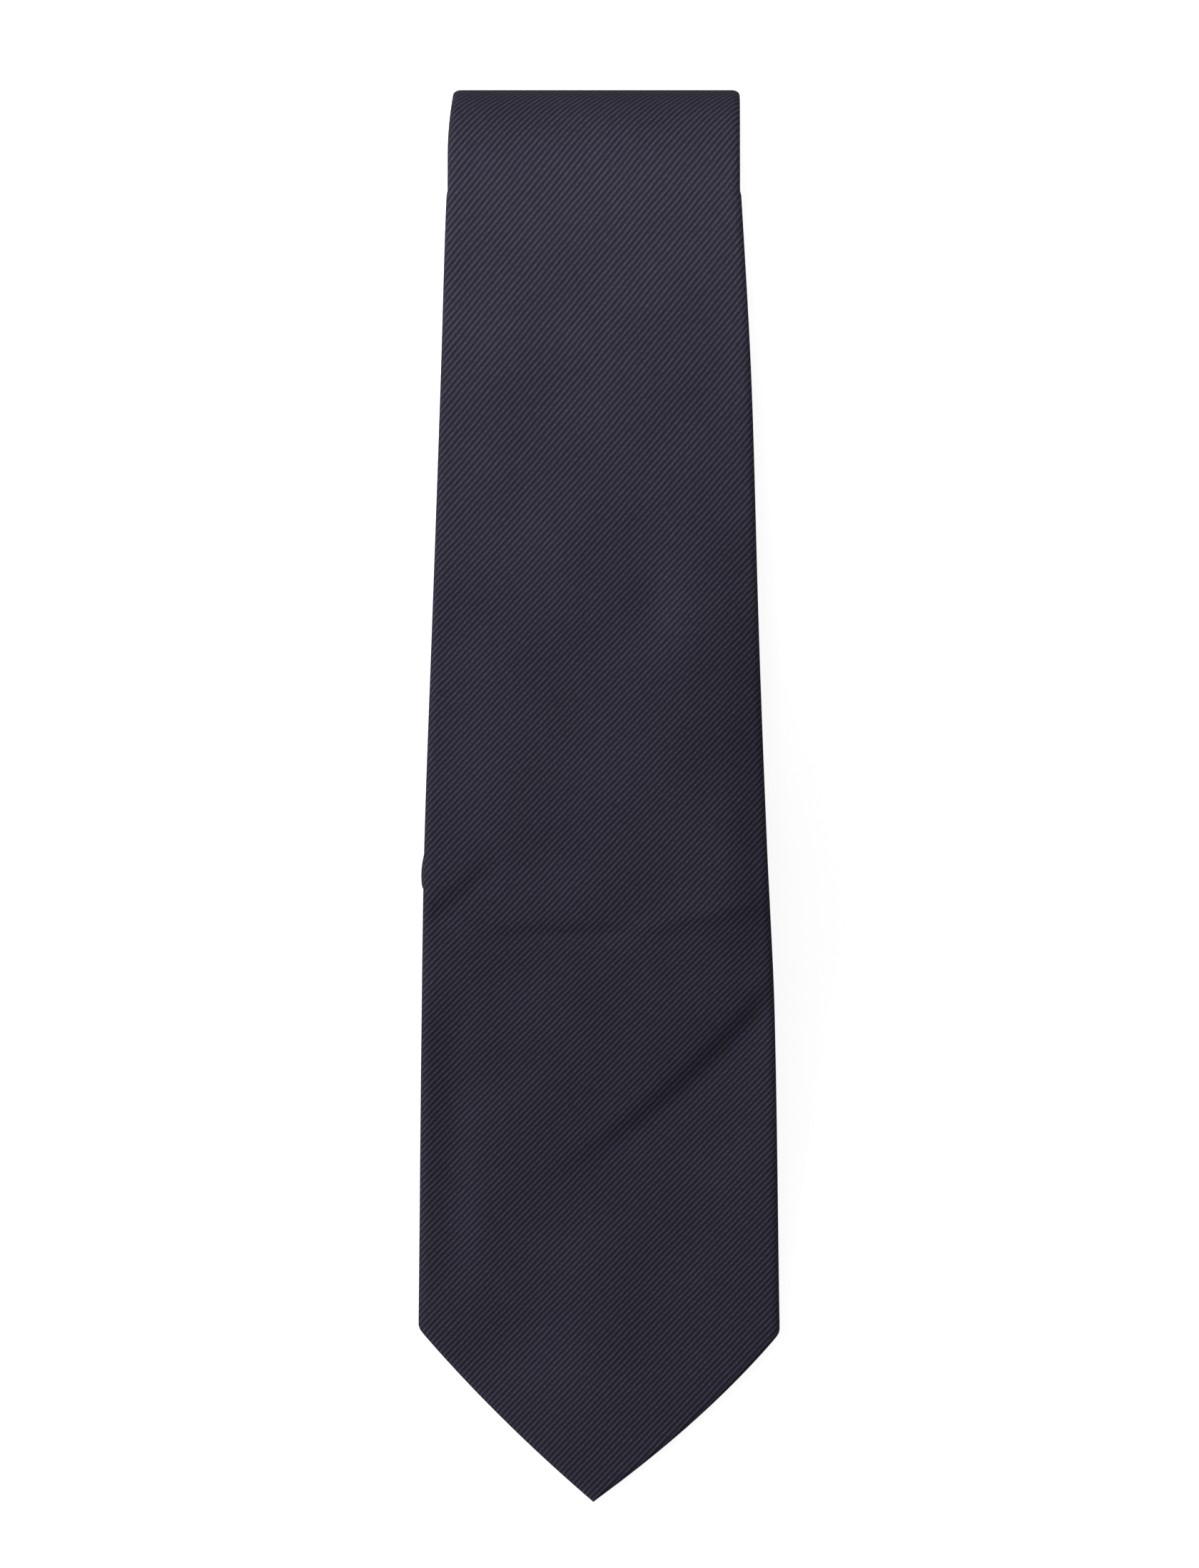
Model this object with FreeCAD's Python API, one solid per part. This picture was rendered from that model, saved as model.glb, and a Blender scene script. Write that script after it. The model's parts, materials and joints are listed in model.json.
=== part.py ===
"""Necktie lying on a table, doubled at the neck and rolled up behind its wide blade.

Frame: +X across the tie, +Y from the wide tip to the top fold, +Z up.
The origin is on the table, under the middle of the whole bundle.  Millimetres.
"""
import math
import os

import FreeCAD
import Part

Vec = FreeCAD.Vector

# --- driving dimensions ----------------------------------------------------------------
BLADE_WIDTH = 80.0          # widest place of the wide blade, at its shoulders
BUNDLE_LENGTH = 311.5       # wide tip to the outside of the top fold
BUNDLE_HEIGHT = 27.0        # eight layers of tie, loosely folded
TIE_LENGTH = 1480.0         # the whole tie, tip to tip

LAYER = 2.4                 # one layer of tie: silk, interlining, silk
SILK = 0.4                  # silk wall, with its turned-in seam allowance
LINING_GAP = 0.05           # room between the silk and the interlining
JOINT_GAP = 0.6             # gap left in the cloth at each bending line

TOP_FOLD_RADIUS = 20.0      # soft upper half of the top fold, outside
TOP_TUCK_RADIUS = 7.0       # tighter lower half of the top fold, outside
LOWER_FOLD_Y = -21.0        # outside of the lower fold
INNER_FOLD_Y = 134.0        # centre of the fold inside the top fold
NECK_FOLD_Y = -9.0          # centre of the fold at the middle of the tie

SHOULDER_HEIGHT = 38.5      # wide tip to its shoulders
TAIL_SHOULDER_HEIGHT = 19.0
BLADE_HINGE_Y = -22.0       # the blade bends here, at the bundle's lower edge
FRONT_HINGE_Y = 129.7       # the front blade lifts from here

# heights of the middle of the eight layers, from the table up
Z_BLADE_BOTTOM = 1.2
Z_TAIL_BOTTOM = 4.1
Z_NECK_LOW = 7.6
Z_NECK_HIGH = 11.0
Z_TAIL_INNER = 16.0
Z_BLADE_INNER = 19.3
Z_TAIL_END = 22.9
Z_FRONT = BUNDLE_HEIGHT - LAYER / 2

# width of the tie against the distance from its wide tip
WIDTHS = [(38.5, 80.0), (168.0, 73.2), (330.0, 63.0), (520.0, 50.0), (690.0, 38.0),
          (830.0, 34.0), (1000.0, 34.0), (1461.0, 38.0)]
TAIL_WIDTH = WIDTHS[-1][1]  # widest place of the narrow blade, at its shoulders

# where the middle line of each stretch lies across the bundle
X_TOP = -1.0                # at the top fold
X_LOWER = -13.1             # at the lower fold, which peeks out on the left
X_INNER = -4.0              # at the inner fold
X_NECK = -12.0              # at the neck fold

# side view of the blade's free end: it drops off the bundle and meets the table
BLADE_END_LINE = [(BLADE_HINGE_Y, Z_FRONT), (-36.0, 20.2), (-62.0, 12.2), (-100.0, 4.0),
                  (-120.0, LAYER / 2), (-BUNDLE_LENGTH / 2, LAYER / 2)]

TOP_Y = BUNDLE_LENGTH / 2
TIP_Y = -BUNDLE_LENGTH / 2
QUARTER_TURN = math.pi / 2

# --- stations along the tie, worked out from its folded route --------------------------
TOP_FOLD_Y = TOP_Y - TOP_FOLD_RADIUS
TOP_TUCK_Y = TOP_Y - TOP_TUCK_RADIUS
LOWER_FOLD_CENTRE_Y = LOWER_FOLD_Y + (Z_BLADE_INNER - Z_BLADE_BOTTOM + LAYER) / 2


def fold_length(z_a, z_b):
    """Length along the middle of a half-round fold between two layers."""
    return QUARTER_TURN * abs(z_a - z_b)


S_TOP = TOP_FOLD_Y - TIP_Y
S_BOTTOM = S_TOP + QUARTER_TURN * (Z_FRONT - Z_BLADE_BOTTOM)
S_LOWER = S_BOTTOM + TOP_TUCK_Y - LOWER_FOLD_CENTRE_Y
S_RISE = S_LOWER + fold_length(Z_BLADE_BOTTOM, Z_BLADE_INNER)
S_INNER = S_RISE + INNER_FOLD_Y - LOWER_FOLD_CENTRE_Y
S_NECK_IN = S_INNER + fold_length(Z_BLADE_INNER, Z_NECK_LOW)
S_NECK = S_NECK_IN + INNER_FOLD_Y - NECK_FOLD_Y
S_NECK_OUT = S_NECK + fold_length(Z_NECK_LOW, Z_NECK_HIGH)
S_TAIL_INNER = S_NECK_OUT + INNER_FOLD_Y - NECK_FOLD_Y
S_TAIL_RISE = S_TAIL_INNER + fold_length(Z_NECK_HIGH, Z_TAIL_INNER)
S_TAIL_LOWER = S_TAIL_RISE + INNER_FOLD_Y - LOWER_FOLD_CENTRE_Y
S_TAIL_BOTTOM = S_TAIL_LOWER + fold_length(Z_TAIL_INNER, Z_TAIL_BOTTOM)
S_TAIL_TUCK = S_TAIL_BOTTOM + TOP_TUCK_Y - LOWER_FOLD_CENTRE_Y
S_TAIL_TOP = S_TAIL_TUCK + QUARTER_TURN * (Z_TAIL_END - Z_TAIL_BOTTOM)
TAIL_TIP_Y = TOP_FOLD_Y - (TIE_LENGTH - S_TAIL_TOP)

BLADE_JOIN_Y = 70.0         # bias seam from the blade's silk to the neck's silk
TAIL_JOIN_Y = 60.0          # bias seam from the neck's silk to the tail's silk


def width_at(station):
    """Width of the tie at a distance from the wide tip, between the stated widths."""
    if station <= WIDTHS[0][0]:
        return WIDTHS[0][1]
    for (s_a, w_a), (s_b, w_b) in zip(WIDTHS, WIDTHS[1:]):
        if station <= s_b:
            return w_a + (w_b - w_a) * (station - s_a) / (s_b - s_a)
    return WIDTHS[-1][1]


def point_inset(margin, width, height):
    """How far a point draws back when its two sloping edges move in by a margin."""
    return margin * math.hypot(width / 2, height) / (width / 2)


def plate(outline, z_mid, thick):
    """Flat plate of a plan outline, centred on a height."""
    points = [Vec(x, y, z_mid - thick / 2) for x, y in outline]
    face = Part.Face(Part.makePolygon(points + points[:1]))
    return face.extrude(Vec(0, 0, thick))


def strip(y_a, y_b, x_a, x_b, w_a, w_b, z_mid, thick):
    """Tapered straight stretch between two places, given by middle line and width."""
    outline = [(x_a - w_a / 2, y_a), (x_a + w_a / 2, y_a),
               (x_b + w_b / 2, y_b), (x_b - w_b / 2, y_b)]
    return plate(outline, z_mid, thick)


def sector(y_c, z_c, radius, thick, x_mid, width, start, sweep):
    """Part of a ring about an axis along X; angles run from +Y towards +Z."""
    base = Vec(x_mid - width / 2, y_c, z_c)
    along = Vec(1, 0, 0)
    outer = Part.makeCylinder(radius + thick / 2, width, base, along, sweep)
    inner = Part.makeCylinder(radius - thick / 2, width, base, along, sweep)
    shape = outer.cut(inner)
    # a cylinder along +X is swept from +Z, so it is turned back to its own start
    shape.rotate(base, along, start - 90.0)
    return shape


def half_fold(y_c, z_a, z_b, thick, x_mid, width, side):
    """Half-round fold between two layer heights, bulging to +Y or -Y."""
    start = -90.0 if side > 0 else 90.0
    z_c = (z_a + z_b) / 2
    return sector(y_c, z_c, abs(z_a - z_b) / 2, thick, x_mid, width, start, 180.0)


def top_fold(inset, thick, x_mid, width):
    """Soft quarter round over a tighter one; inset 0 is the outermost layer."""
    z_c = BUNDLE_HEIGHT - TOP_FOLD_RADIUS
    soft = TOP_FOLD_RADIUS - LAYER / 2 - inset
    tight = TOP_TUCK_RADIUS - LAYER / 2 - inset
    upper = sector(TOP_FOLD_Y, z_c, soft, thick, x_mid, width, 0.0, 90.0)
    lower = sector(TOP_TUCK_Y, z_c, tight, thick, x_mid, width, -90.0, 90.0)
    return upper.fuse(lower)


def joined(pieces):
    """One solid from touching pieces."""
    shape = pieces[0].multiFuse(pieces[1:])
    return shape.removeSplitter()


# --- stretches of the tie; trim narrows each side, thick is the layer's thickness -------
def blade_wrap(thick, trim):
    """Blade from the front's bending line round the top fold to its bias seam."""
    w_top = width_at(S_TOP) - 2 * trim
    w_low = width_at(S_LOWER) - 2 * trim
    w_join = width_at(S_RISE + BLADE_JOIN_Y - LOWER_FOLD_CENTRE_Y) - 2 * trim
    share = (BLADE_JOIN_Y - LOWER_FOLD_CENTRE_Y) / (INNER_FOLD_Y - LOWER_FOLD_CENTRE_Y)
    x_join = X_LOWER + (X_INNER - X_LOWER) * share
    y_start = FRONT_HINGE_Y + JOINT_GAP / 2
    return joined([
        strip(y_start, TOP_FOLD_Y, X_TOP, X_TOP, w_top, w_top, Z_FRONT, thick),
        top_fold(0.0, thick, X_TOP, w_top),
        strip(TOP_TUCK_Y, LOWER_FOLD_CENTRE_Y, X_TOP, X_LOWER, w_top, w_low,
              Z_BLADE_BOTTOM, thick),
        half_fold(LOWER_FOLD_CENTRE_Y, Z_BLADE_BOTTOM, Z_BLADE_INNER, thick, X_LOWER,
                  w_low, -1),
        strip(LOWER_FOLD_CENTRE_Y, BLADE_JOIN_Y, X_LOWER, x_join, w_low, w_join,
              Z_BLADE_INNER, thick)])


def neck_wrap(thick, trim):
    """Neck from one bias seam through the inner folds to the other bias seam."""
    span = INNER_FOLD_Y - LOWER_FOLD_CENTRE_Y
    x_in = X_LOWER + (X_INNER - X_LOWER) * (BLADE_JOIN_Y - LOWER_FOLD_CENTRE_Y) / span
    x_out = X_LOWER + (X_INNER - X_LOWER) * (TAIL_JOIN_Y - LOWER_FOLD_CENTRE_Y) / span
    w_in = width_at(S_RISE + BLADE_JOIN_Y - LOWER_FOLD_CENTRE_Y) - 2 * trim
    w_fold = width_at(S_INNER) - 2 * trim
    w_neck = width_at(S_NECK) - 2 * trim
    w_tail = width_at(S_TAIL_INNER) - 2 * trim
    return joined([
        strip(BLADE_JOIN_Y, INNER_FOLD_Y, x_in, X_INNER, w_in, w_fold,
              Z_BLADE_INNER, thick),
        half_fold(INNER_FOLD_Y, Z_NECK_LOW, Z_BLADE_INNER, thick, X_INNER, w_fold, 1),
        strip(INNER_FOLD_Y, NECK_FOLD_Y, X_INNER, X_NECK, w_fold, w_neck,
              Z_NECK_LOW, thick),
        half_fold(NECK_FOLD_Y, Z_NECK_LOW, Z_NECK_HIGH, thick, X_NECK, w_neck, -1),
        strip(NECK_FOLD_Y, INNER_FOLD_Y, X_NECK, X_INNER, w_neck, w_tail,
              Z_NECK_HIGH, thick),
        half_fold(INNER_FOLD_Y, Z_NECK_HIGH, Z_TAIL_INNER, thick, X_INNER, w_tail, 1),
        strip(INNER_FOLD_Y, TAIL_JOIN_Y, X_INNER, x_out, w_tail, w_tail,
              Z_TAIL_INNER, thick)])


def tail_wrap(thick, trim):
    """Tail from its bias seam round the folds to the front's bending line."""
    span = INNER_FOLD_Y - LOWER_FOLD_CENTRE_Y
    x_join = X_LOWER + (X_INNER - X_LOWER) * (TAIL_JOIN_Y - LOWER_FOLD_CENTRE_Y) / span
    w_join = width_at(S_TAIL_INNER) - 2 * trim
    w_low = width_at(S_TAIL_LOWER) - 2 * trim
    w_top = width_at(S_TAIL_TUCK) - 2 * trim
    inset = Z_FRONT - Z_TAIL_END
    y_end = FRONT_HINGE_Y + JOINT_GAP / 2
    return joined([
        strip(TAIL_JOIN_Y, LOWER_FOLD_CENTRE_Y, x_join, X_LOWER, w_join, w_low,
              Z_TAIL_INNER, thick),
        half_fold(LOWER_FOLD_CENTRE_Y, Z_TAIL_BOTTOM, Z_TAIL_INNER, thick, X_LOWER,
                  w_low, -1),
        strip(LOWER_FOLD_CENTRE_Y, TOP_TUCK_Y, X_LOWER, X_TOP, w_low, w_top,
              Z_TAIL_BOTTOM, thick),
        top_fold(inset, thick, X_TOP, w_top),
        strip(TOP_FOLD_Y, y_end, X_TOP, X_TOP, w_top, w_top, Z_TAIL_END, thick)])


def front_run(thick, trim):
    """Blade between its two bending lines, flat on top of the bundle."""
    y_low = BLADE_HINGE_Y + JOINT_GAP / 2
    y_high = FRONT_HINGE_Y - JOINT_GAP / 2
    w_low = width_at(y_low - TIP_Y) - 2 * trim
    w_high = width_at(S_TOP) - 2 * trim
    return strip(y_low, y_high, 0.0, X_TOP, w_low, w_high, Z_FRONT, thick)


def blade_end(thick, trim):
    """Free end of the blade: it slopes to the table and ends in the wide point."""
    y_start = BLADE_HINGE_Y - JOINT_GAP / 2
    half_start = width_at(y_start - TIP_Y) / 2 - trim
    half_shoulder = BLADE_WIDTH / 2 - trim
    y_shoulder = TIP_Y + SHOULDER_HEIGHT
    y_point = TIP_Y + point_inset(trim, BLADE_WIDTH, SHOULDER_HEIGHT)
    plan = [(-half_start, y_start), (-half_shoulder, y_shoulder), (0.0, y_point),
            (half_shoulder, y_shoulder), (half_start, y_start)]
    column = plate(plan, BUNDLE_HEIGHT / 2, BUNDLE_HEIGHT * 2)
    side = [Vec(-BLADE_WIDTH, y, z + thick / 2) for y, z in BLADE_END_LINE]
    side += [Vec(-BLADE_WIDTH, y, z - thick / 2) for y, z in reversed(BLADE_END_LINE)]
    slab = Part.Face(Part.makePolygon(side + side[:1])).extrude(Vec(2 * BLADE_WIDTH, 0, 0))
    return column.common(slab)


def tail_end(thick, trim):
    """Tail under the front blade, down to its own point."""
    y_high = FRONT_HINGE_Y - JOINT_GAP / 2
    half_high = width_at(S_TAIL_TUCK) / 2 - trim
    half_low = TAIL_WIDTH / 2 - trim
    y_shoulder = TAIL_TIP_Y + TAIL_SHOULDER_HEIGHT
    y_point = TAIL_TIP_Y + point_inset(trim, TAIL_WIDTH, TAIL_SHOULDER_HEIGHT)
    outline = [(X_TOP - half_high, y_high), (X_TOP - half_low, y_shoulder),
               (X_TOP, y_point),
               (X_TOP + half_low, y_shoulder), (X_TOP + half_high, y_high)]
    return plate(outline, Z_TAIL_END, thick)


def shell(stretch):
    """Silk of a stretch: the full layer with the interlining's room taken out."""
    return stretch(LAYER, 0.0).cut(stretch(LAYER - 2 * SILK, 2 * SILK))


def lining(stretch):
    """Interlining that fills a stretch's silk, with a little room."""
    return stretch(LAYER - 2 * SILK - 2 * LINING_GAP, 2 * SILK + LINING_GAP)


# --- small pieces on the back ----------------------------------------------------------
TIPPING_THICK = 0.25
TIPPING_MARGIN = 7.0        # silk left showing round the lining of the wide point
TIPPING_TOP_Y = -100.0
TAIL_TIPPING_MARGIN = 3.5   # the same round the lining of the narrow point
TAIL_TIPPING_RISE = 12.0    # how far that lining runs above the narrow point's shoulders
KEEPER_Y = 34.0
KEEPER_HEIGHT = 13.0
KEEPER_WIDTH = 52.0
KEEPER_THICK = 0.4
KEEPER_ROOM = 0.2           # slack between the band and the tail
LABEL_Y = -33.0
LABEL_SIZE = (46.0, 12.0)
LABEL_DEPTH = 0.3
BAR_TACK_SIZE = (7.0, 1.2, 0.5)
TAIL_TACK_DEPTH = 0.15
TAIL_TACK_HEIGHT = 42.0     # above the narrow tip
BLADE_TACK_Y = -62.0
SLIP_THREAD = 0.3


def on_blade_back(outline, depth, sink=0.0):
    """Thin piece laid along the back of the free end, following its slope."""
    column = plate(outline, BUNDLE_HEIGHT / 2, BUNDLE_HEIGHT * 2)
    line = [(y, z - LAYER / 2 + sink) for y, z in BLADE_END_LINE]
    side = [Vec(-BLADE_WIDTH, y, z) for y, z in line]
    side += [Vec(-BLADE_WIDTH, y, z - depth) for y, z in reversed(line)]
    slab = Part.Face(Part.makePolygon(side + side[:1])).extrude(Vec(2 * BLADE_WIDTH, 0, 0))
    return column.common(slab)


def blade_tipping():
    """Lining of the wide point, let into the silk so the point still lies flat."""
    half = BLADE_WIDTH / 2 - TIPPING_MARGIN
    y_shoulder = TIP_Y + SHOULDER_HEIGHT
    y_point = TIP_Y + point_inset(TIPPING_MARGIN, BLADE_WIDTH, SHOULDER_HEIGHT)
    outline = [(-half, TIPPING_TOP_Y), (-half, y_shoulder), (0.0, y_point),
               (half, y_shoulder), (half, TIPPING_TOP_Y)]
    return on_blade_back(outline, TIPPING_THICK, sink=TIPPING_THICK)


def tail_tipping():
    """Lining of the narrow point, on the side that faces the blade's back."""
    half = TAIL_WIDTH / 2 - TAIL_TIPPING_MARGIN
    y_shoulder = TAIL_TIP_Y + TAIL_SHOULDER_HEIGHT
    y_high = y_shoulder + TAIL_TIPPING_RISE
    y_point = TAIL_TIP_Y + point_inset(TAIL_TIPPING_MARGIN, TAIL_WIDTH, TAIL_SHOULDER_HEIGHT)
    outline = [(X_TOP - half, y_high), (X_TOP - half, y_shoulder), (X_TOP, y_point),
               (X_TOP + half, y_shoulder), (X_TOP + half, y_high)]
    return plate(outline, Z_TAIL_END + LAYER / 2 - TIPPING_THICK / 2, TIPPING_THICK)


def keeper_loop():
    """Band sewn to the blade's back at its two ends, with the tail passing through."""
    top = Z_FRONT - LAYER / 2
    inside_bottom = Z_TAIL_END - LAYER / 2 - KEEPER_ROOM
    bottom = inside_bottom - KEEPER_THICK
    x_low = X_TOP - KEEPER_WIDTH / 2
    y_low = KEEPER_Y - KEEPER_HEIGHT / 2
    outer = Part.makeBox(KEEPER_WIDTH, KEEPER_HEIGHT, top - bottom, Vec(x_low, y_low, bottom))
    room = Part.makeBox(KEEPER_WIDTH - 2 * KEEPER_THICK, KEEPER_HEIGHT, top - inside_bottom,
                        Vec(x_low + KEEPER_THICK, y_low, inside_bottom))
    return outer.cut(room)


def blank_label():
    """Plain woven label sewn across the blade's back."""
    half = LABEL_SIZE[0] / 2
    outline = [(-half, LABEL_Y - LABEL_SIZE[1] / 2), (half, LABEL_Y - LABEL_SIZE[1] / 2),
               (half, LABEL_Y + LABEL_SIZE[1] / 2), (-half, LABEL_Y + LABEL_SIZE[1] / 2)]
    return on_blade_back(outline, LABEL_DEPTH)


def blade_bar_tack():
    """Dense bar of thread that closes the blade's centre seam."""
    half = BAR_TACK_SIZE[0] / 2
    y_low = BLADE_TACK_Y - BAR_TACK_SIZE[1]
    y_high = BLADE_TACK_Y + BAR_TACK_SIZE[1]
    outline = [(-half, y_low), (half, y_low), (half, y_high), (-half, y_high)]
    return on_blade_back(outline, BAR_TACK_SIZE[2])


def tail_bar_tack():
    """Bar of thread that closes the tail's centre seam, facing the blade's back."""
    base = Vec(X_TOP - BAR_TACK_SIZE[0] / 2, TAIL_TIP_Y + TAIL_TACK_HEIGHT,
               Z_TAIL_END + LAYER / 2)
    return Part.makeBox(BAR_TACK_SIZE[0], 2 * BAR_TACK_SIZE[1], TAIL_TACK_DEPTH, base)


def slip_thread():
    """Slip-stitch thread along the front blade's centre seam."""
    y_low = BLADE_HINGE_Y + 2.0
    base = Vec(-0.5, y_low, Z_FRONT - LAYER / 2 - SLIP_THREAD)
    return Part.makeBox(SLIP_THREAD, FRONT_HINGE_Y - 4.0 - y_low, SLIP_THREAD, base)


tipping = blade_tipping()
tail_lining_patch = tail_tipping()

PARTS = {
    "blade_silk_front": shell(front_run),
    "blade_silk_end": shell(blade_end).cut(tipping),
    "blade_silk_wrap": shell(blade_wrap),
    "neck_silk": shell(neck_wrap),
    "tail_silk_wrap": shell(tail_wrap),
    "tail_silk_end": shell(tail_end).cut(tail_lining_patch),
    "interlining_front": lining(front_run),
    "interlining_blade_end": lining(blade_end),
    "interlining_blade_wrap": lining(blade_wrap),
    "interlining_neck": lining(neck_wrap),
    "interlining_tail_wrap": lining(tail_wrap),
    "interlining_tail_end": lining(tail_end),
    "blade_tipping": tipping,
    "tail_tipping": tail_lining_patch,
    "keeper_loop": keeper_loop(),
    "blank_label": blank_label(),
    "blade_bar_tack": blade_bar_tack(),
    "tail_bar_tack": tail_bar_tack(),
    "slip_stitch_thread": slip_thread(),
}

os.makedirs("parts", exist_ok=True)
for name, shape in PARTS.items():
    shape.exportStep(os.path.join("parts", name + ".step"))
    box = shape.BoundBox
    print(f"{name:24s} solids {len(shape.Solids)} volume {shape.Volume:9.1f} "
          f"x {box.XMin:.2f}..{box.XMax:.2f} y {box.YMin:.2f}..{box.YMax:.2f} "
          f"z {box.ZMin:.2f}..{box.ZMax:.2f} valid {shape.isValid()}")
print(f"tie length {TIE_LENGTH:.0f}, tail tip at y {TAIL_TIP_Y:.1f}")
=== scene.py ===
import json
import math

import bpy
import numpy as np
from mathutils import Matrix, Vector


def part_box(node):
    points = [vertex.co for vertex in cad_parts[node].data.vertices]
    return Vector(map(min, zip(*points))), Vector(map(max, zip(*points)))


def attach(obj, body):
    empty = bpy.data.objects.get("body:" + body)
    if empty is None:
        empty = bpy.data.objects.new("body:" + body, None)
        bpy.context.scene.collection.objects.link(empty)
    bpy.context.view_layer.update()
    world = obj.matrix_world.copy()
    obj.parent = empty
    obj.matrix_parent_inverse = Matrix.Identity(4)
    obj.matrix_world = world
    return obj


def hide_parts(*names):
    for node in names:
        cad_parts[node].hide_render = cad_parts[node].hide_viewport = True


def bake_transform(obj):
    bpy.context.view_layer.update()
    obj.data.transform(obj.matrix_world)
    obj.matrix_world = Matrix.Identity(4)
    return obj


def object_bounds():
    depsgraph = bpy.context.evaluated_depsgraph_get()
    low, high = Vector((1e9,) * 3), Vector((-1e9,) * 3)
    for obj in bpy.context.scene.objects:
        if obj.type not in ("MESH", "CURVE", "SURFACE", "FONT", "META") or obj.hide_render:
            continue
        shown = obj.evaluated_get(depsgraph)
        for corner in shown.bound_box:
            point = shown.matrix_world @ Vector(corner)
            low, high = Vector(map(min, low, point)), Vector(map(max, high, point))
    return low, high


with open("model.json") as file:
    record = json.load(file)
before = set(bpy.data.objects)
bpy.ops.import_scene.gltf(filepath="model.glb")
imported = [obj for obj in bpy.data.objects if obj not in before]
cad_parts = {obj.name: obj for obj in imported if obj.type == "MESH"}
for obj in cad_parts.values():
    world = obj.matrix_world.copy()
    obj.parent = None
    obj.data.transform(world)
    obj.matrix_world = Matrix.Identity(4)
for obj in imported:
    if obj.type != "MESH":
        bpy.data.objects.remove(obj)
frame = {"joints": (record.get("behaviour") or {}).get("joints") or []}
cad_low, cad_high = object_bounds()

MM = 0.001


# --- sizes read from the frame, in millimetres ------------------------------------------
def box_mm(node):
    """Lowest and highest corner of a CAD node, in millimetres."""
    low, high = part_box(node)
    return np.array(low) / MM, np.array(high) / MM


TIP_Y = cad_low.y / MM
TOP_Y = cad_high.y / MM
HEIGHT = cad_high.z / MM

front_low, front_high = box_mm("blade_silk_front")
LAYER = front_high[2] - front_low[2]
Z_FRONT = (front_low[2] + front_high[2]) / 2
Z_TAIL_END = sum(box_mm("tail_silk_end"))[2] / 2
Z_BLADE_BOTTOM = LAYER / 2
Z_TAIL_BOTTOM = box_mm("tail_silk_wrap")[0][2] + LAYER / 2
Z_NECK_LOW = box_mm("neck_silk")[0][2] + LAYER / 2
Z_BLADE_INNER = box_mm("neck_silk")[1][2] - LAYER / 2
Z_NECK_HIGH = 11.0
Z_TAIL_INNER = 16.0

TOP_FOLD_RADIUS = 20.0
TOP_TUCK_RADIUS = HEIGHT - TOP_FOLD_RADIUS
TOP_FOLD_Y = TOP_Y - TOP_FOLD_RADIUS
TOP_TUCK_Y = TOP_Y - TOP_TUCK_RADIUS
LOWER_FOLD_Y = box_mm("blade_silk_wrap")[0][1]
LOWER_CENTRE_Y = LOWER_FOLD_Y + (Z_BLADE_INNER - Z_BLADE_BOTTOM + LAYER) / 2
INNER_FOLD_Y = 134.0
NECK_FOLD_Y = -9.0
TAIL_TIP_Y = box_mm("tail_silk_end")[0][1]
FRONT_HINGE = [v / MM for v in frame["joints"][0]["pos_m"]]
END_HINGE = [v / MM for v in frame["joints"][1]["pos_m"]]

SHOULDER_HEIGHT = 38.6
TAIL_SHOULDER_HEIGHT = 19.0
TAIL_WIDTH = 38.0
TACK_Y = sum(box_mm("blade_bar_tack"))[1] / 2
LABEL_Y = sum(box_mm("blank_label"))[1] / 2
KEEPER_Y = sum(box_mm("keeper_loop"))[1] / 2
PIECE_CUT_Y = 50.0          # where the front's two pieces of mesh meet, away from both bends

STEP = 2.4                  # spacing of the stations along the tie
ACROSS_FRONT = 44           # columns across the front's face
ACROSS_INSIDE = 22          # columns across a face that lies inside the bundle
CORE_COLUMNS = 12           # columns across the interlining's face
SILK_BITE = 0.35            # thickness of one turned edge of silk
SILK_WALL = 0.30            # thickness of the silk cloth
EDGE_STEPS = np.array([0.0, 0.05, 0.18, 0.42, 0.8, 1.3, 1.9, 2.6])
EDGE_ROUND = 1.7            # how far in from an edge the pressed fold rounds off
HEM_RAMP = 3.6              # width over which a hem steps down; wider than the columns
LINING_TUCK = 1.6           # how far a lining reaches in under the hem
LINING_THICKNESS = 0.12
LABEL_HEIGHT = 12.0
LABEL_THICKNESS = 0.25
LABEL_RISE = SILK_BITE + 0.36   # clears the crease and the seam that the label lies over
END_HOLD = 0.02             # distance of the row that keeps a cut end crisp


# how deep the folds of the front layer are, in millimetres
SIDE_SETTLE = 1.1
RIGHT_DROOP = 2.0
CORNER_DIP = 1.30
BREAK_LINE_DEPTH = 1.35
BREAK_RIDGE_HEIGHT = 0.75
SHOULDER_FOLD_DEPTH = 2.7
CHANNEL_DEPTH = 0.70
DENT_DEPTH = 0.95
POINT_CROWN = 2.0


# --- small maths ------------------------------------------------------------------------
def smooth(value, low, high):
    """Smooth step from 0 at low to 1 at high."""
    t = np.clip((value - low) / (high - low), 0.0, 1.0)
    return t * t * (3 - 2 * t)


def curve_through(points):
    """Smooth function through given points, with no overshoot between them."""
    xs, ys = (np.array(c, float) for c in zip(*sorted(points)))
    slopes = np.diff(ys) / np.diff(xs)
    tangents = np.zeros(len(xs))
    tangents[0], tangents[-1] = slopes[0], slopes[-1]
    for i in range(1, len(xs) - 1):
        a, b = slopes[i - 1], slopes[i]
        tangents[i] = 0.0 if a * b <= 0 else 2 * a * b / (a + b)

    def value(x):
        x = np.clip(x, xs[0], xs[-1])
        i = np.clip(np.searchsorted(xs, x) - 1, 0, len(xs) - 2)
        h = xs[i + 1] - xs[i]
        t = (x - xs[i]) / h
        return ((2 * t**3 - 3 * t**2 + 1) * ys[i] + (t**3 - 2 * t**2 + t) * h * tangents[i]
                + (3 * t**2 - 2 * t**3) * ys[i + 1] + (t**3 - t**2) * h * tangents[i + 1])
    return value


def soft_min(a, b, radius):
    """The smaller of two values, rounded where they cross."""
    low = np.minimum(a, b)
    return low - radius * np.log(np.exp((low - a) / radius) + np.exp((low - b) / radius))


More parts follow.
